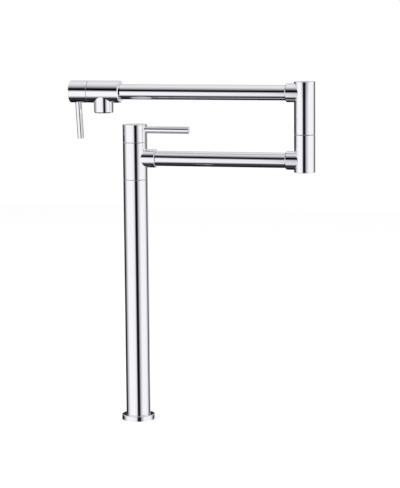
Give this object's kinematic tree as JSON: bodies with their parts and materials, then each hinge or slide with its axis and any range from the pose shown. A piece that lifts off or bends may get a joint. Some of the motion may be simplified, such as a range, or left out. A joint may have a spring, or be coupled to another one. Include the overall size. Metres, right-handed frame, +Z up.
{
  "type": "deck mounted pot filler",
  "caption": "Tall deck-mounted pot filler: swivelling double-jointed spout folded over its lower arm, a lever valve on the column and one at the outlet.",
  "frame": {"origin": "centre of the base flange's underside, on the deck's upper face and on the column's axis", "axes": "+Z up the column, +X along the lower arm away from the column at rest, -Y towards the user"},
  "size_m": [0.4099, 0.0544, 0.659],
  "materials": {
    "chrome_brass": "polished chrome plate on brass",
    "brass": "machined, unplated",
    "steel": "plain stainless",
    "rubber": "matt black sealing rubber",
    "bearing_plastic": "dark grey acetal",
    "ceramic": "lapped alumina ceramic",
    "aerator_plastic": "moulded grey acetal"
  },
  "bodies": {
    "base": {"base_flange": "chrome_brass", "base_gasket": "rubber", "column_tube": "chrome_brass", "column_base_plug": "brass", "threaded_shank": "brass", "deck_rubber_washer": "rubber", "deck_steel_washer": "steel", "deck_lock_nut": "brass", "supply_riser": "brass", "inlet_connector": "brass", "swivel_core": "brass", "hub_lower_bearing": "bearing_plastic", "hub_lower_seal": "rubber", "hub_upper_seal": "rubber", "hub_upper_bearing": "bearing_plastic", "hub_retaining_nut": "brass", "column_cartridge_seal": "rubber", "column_cartridge_body": "brass", "column_fixed_disc": "ceramic"},
    "column_handle": {"column_turning_disc": "ceramic", "column_cartridge_stem": "brass", "column_handle_cap": "chrome_brass", "column_lever": "chrome_brass", "column_set_screw": "steel"},
    "lower_arm": {"arm_hub": "chrome_brass", "lower_arm_tube": "chrome_brass", "lower_elbow_housing": "chrome_brass", "lower_elbow_plug": "chrome_brass", "elbow_spindle": "brass", "elbow_lower_seal": "rubber", "elbow_middle_seal": "rubber", "elbow_upper_seal": "rubber", "elbow_lower_bearing": "bearing_plastic", "elbow_upper_bearing": "bearing_plastic", "elbow_retaining_nut": "brass"},
    "upper_arm": {"upper_elbow_housing": "chrome_brass", "upper_elbow_plug": "chrome_brass", "upper_arm_tube": "chrome_brass", "spout_head": "chrome_brass", "aerator_gasket": "rubber", "aerator_housing": "chrome_brass", "aerator_insert": "aerator_plastic", "head_cartridge_seal": "rubber", "head_cartridge_body": "brass", "head_fixed_disc": "ceramic"},
    "head_handle": {"head_turning_disc": "ceramic", "head_cartridge_stem": "brass", "head_handle_cap": "chrome_brass", "head_lever": "chrome_brass", "head_set_screw": "steel"}
  },
  "joints": [
    {"name": "column_valve_turn", "type": "hinge", "parent": "base", "child": "column_handle", "pos_m": [0, 0, 0.4774], "axis": [0, 0, 1], "range_deg": [-90, 0]},
    {"name": "arm_swivel", "type": "hinge", "parent": "base", "child": "lower_arm", "pos_m": [0, 0, 0.4364], "axis": [0, 0, 1], "continuous": true},
    {"name": "elbow_swivel", "type": "hinge", "parent": "lower_arm", "child": "upper_arm", "pos_m": [0.284, 0, 0.4783], "axis": [0, 0, 1], "continuous": true},
    {"name": "head_valve_turn", "type": "hinge", "parent": "upper_arm", "child": "head_handle", "pos_m": [-0.0936, 0, 0.5449], "axis": [1, 0, 0], "range_deg": [-90, 0]}
  ]
}
